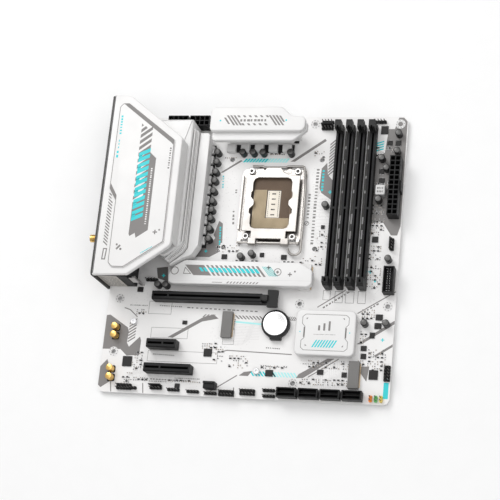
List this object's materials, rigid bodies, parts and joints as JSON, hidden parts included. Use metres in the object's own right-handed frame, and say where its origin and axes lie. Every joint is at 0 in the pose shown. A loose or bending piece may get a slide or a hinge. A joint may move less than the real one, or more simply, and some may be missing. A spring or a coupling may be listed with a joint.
{
  "type": "motherboard",
  "caption": "White micro-ATX computer motherboard with a tall rear port cover, heatsinks, processor socket with clamp, memory slots and expansion slots.",
  "frame": {"origin": "middle of the assembly's footprint, on the plane under the socket backplate", "axes": "+X from the rear port edge to the front edge, +Y from the expansion slots towards the processor power sockets, +Z out of the component side"},
  "size_m": [0.2518, 0.2462, 0.051],
  "materials": {
    "white_board": "satin solder mask",
    "white_shell": "satin",
    "white_metal": "satin powder coat",
    "black_plastic": "moulded matte",
    "bright_steel": "plated sheet",
    "gold_plate": "gold plate",
    "grey_plastic": "moulded matte",
    "dark_metal": "dark coat",
    "socket_resin": "moulded"
  },
  "bodies": {
    "board": {"pcb": "white_board", "socket_backplate": "bright_steel", "cpu_socket": "socket_resin", "ilm_frame": "bright_steel", "ilm_screw_1": "bright_steel", "ilm_screw_2": "bright_steel", "ilm_screw_3": "bright_steel", "ilm_screw_4": "bright_steel", "io_shield": "dark_metal", "io_cover": "white_shell", "io_cover_panel": "white_shell", "audio_jack_block": "grey_plastic", "lan_usb_port": "bright_steel", "usb_stack_middle": "bright_steel", "usb_stack_high": "bright_steel", "display_port_block": "bright_steel", "usb_stack_top": "bright_steel", "antenna_socket_low": "gold_plate", "antenna_socket_high": "gold_plate", "vrm_heatsink_rear_tall": "white_metal", "vrm_heatsink_rear_ridges": "white_metal", "vrm_heatsink_rear_low": "white_metal", "vrm_heatsink_top_base": "white_metal", "vrm_heatsink_top_cap": "white_metal", "dimm_slot_1": "black_plastic", "dimm_slot_2": "black_plastic", "dimm_slot_3": "black_plastic", "dimm_slot_4": "black_plastic", "pcie_x16_slot": "black_plastic", "pcie_x1_slot": "black_plastic", "pcie_x4_slot": "black_plastic", "m2_socket_top": "grey_plastic", "m2_socket_left": "grey_plastic", "m2_socket_right": "grey_plastic", "m2_post": "gold_plate", "battery_holder": "black_plastic", "chipset_heatsink": "white_metal", "chipset_package": "grey_plastic", "atx_power_24pin": "black_plastic", "eps_power_left": "black_plastic", "eps_power_right": "black_plastic", "usb3_header": "black_plastic", "sata_port_1": "black_plastic", "sata_port_2": "black_plastic", "sata_port_3": "black_plastic", "sata_port_4": "black_plastic", "front_panel_header": "black_plastic", "audio_header": "black_plastic", "usb2_header": "black_plastic", "cpu_fan_header": "black_plastic"},
    "load_plate": {"load_plate": "bright_steel"},
    "socket_lever": {"socket_lever": "bright_steel"},
    "m2_cover": {"m2_heatsink": "white_metal", "m2_heatsink_screw": "bright_steel"},
    "coin_cell": {"coin_cell": "bright_steel"},
    "slot_latch": {"pcie_x16_latch": "black_plastic"},
    "memory_latch_1": {"dimm_latch_1": "black_plastic"},
    "memory_latch_2": {"dimm_latch_2": "black_plastic"},
    "memory_latch_3": {"dimm_latch_3": "black_plastic"},
    "memory_latch_4": {"dimm_latch_4": "black_plastic"}
  },
  "joints": [
    {"name": "lever_swing", "type": "hinge", "parent": "board", "child": "socket_lever", "pos_m": [0.01668, 0.07475, 0.0076], "axis": [-1, 0, 0], "range_deg": [0, 120]},
    {"name": "plate_swing", "type": "hinge", "parent": "board", "child": "load_plate", "pos_m": [0.01668, 0.00725, 0.008], "axis": [1, 0, 0], "range_deg": [0, 110]},
    {"name": "slot_latch_press", "type": "hinge", "parent": "board", "child": "slot_latch", "pos_m": [0.02108, -0.04189, 0.0075], "axis": [0, 1, 0], "range_deg": [0, 8]},
    {"name": "m2_cover_lift", "type": "slide", "parent": "board", "child": "m2_cover", "axis": [0, 0, 1], "range_m": [0, 0.03]},
    {"name": "coin_cell_lift", "type": "slide", "parent": "board", "child": "coin_cell", "axis": [0, 0, 1], "range_m": [0, 0.02]},
    {"name": "memory_latch_1_swing", "type": "hinge", "parent": "board", "child": "memory_latch_1", "pos_m": [0.07028, 0.10785, 0.0075], "axis": [-1, 0, 0], "range_deg": [0, 28]},
    {"name": "memory_latch_2_swing", "type": "hinge", "parent": "board", "child": "memory_latch_2", "pos_m": [0.07975, 0.10785, 0.0075], "axis": [-1, 0, 0], "range_deg": [0, 28]},
    {"name": "memory_latch_3_swing", "type": "hinge", "parent": "board", "child": "memory_latch_3", "pos_m": [0.08922, 0.10785, 0.0075], "axis": [-1, 0, 0], "range_deg": [0, 28]},
    {"name": "memory_latch_4_swing", "type": "hinge", "parent": "board", "child": "memory_latch_4", "pos_m": [0.09869, 0.10785, 0.0075], "axis": [-1, 0, 0], "range_deg": [0, 28]}
  ]
}
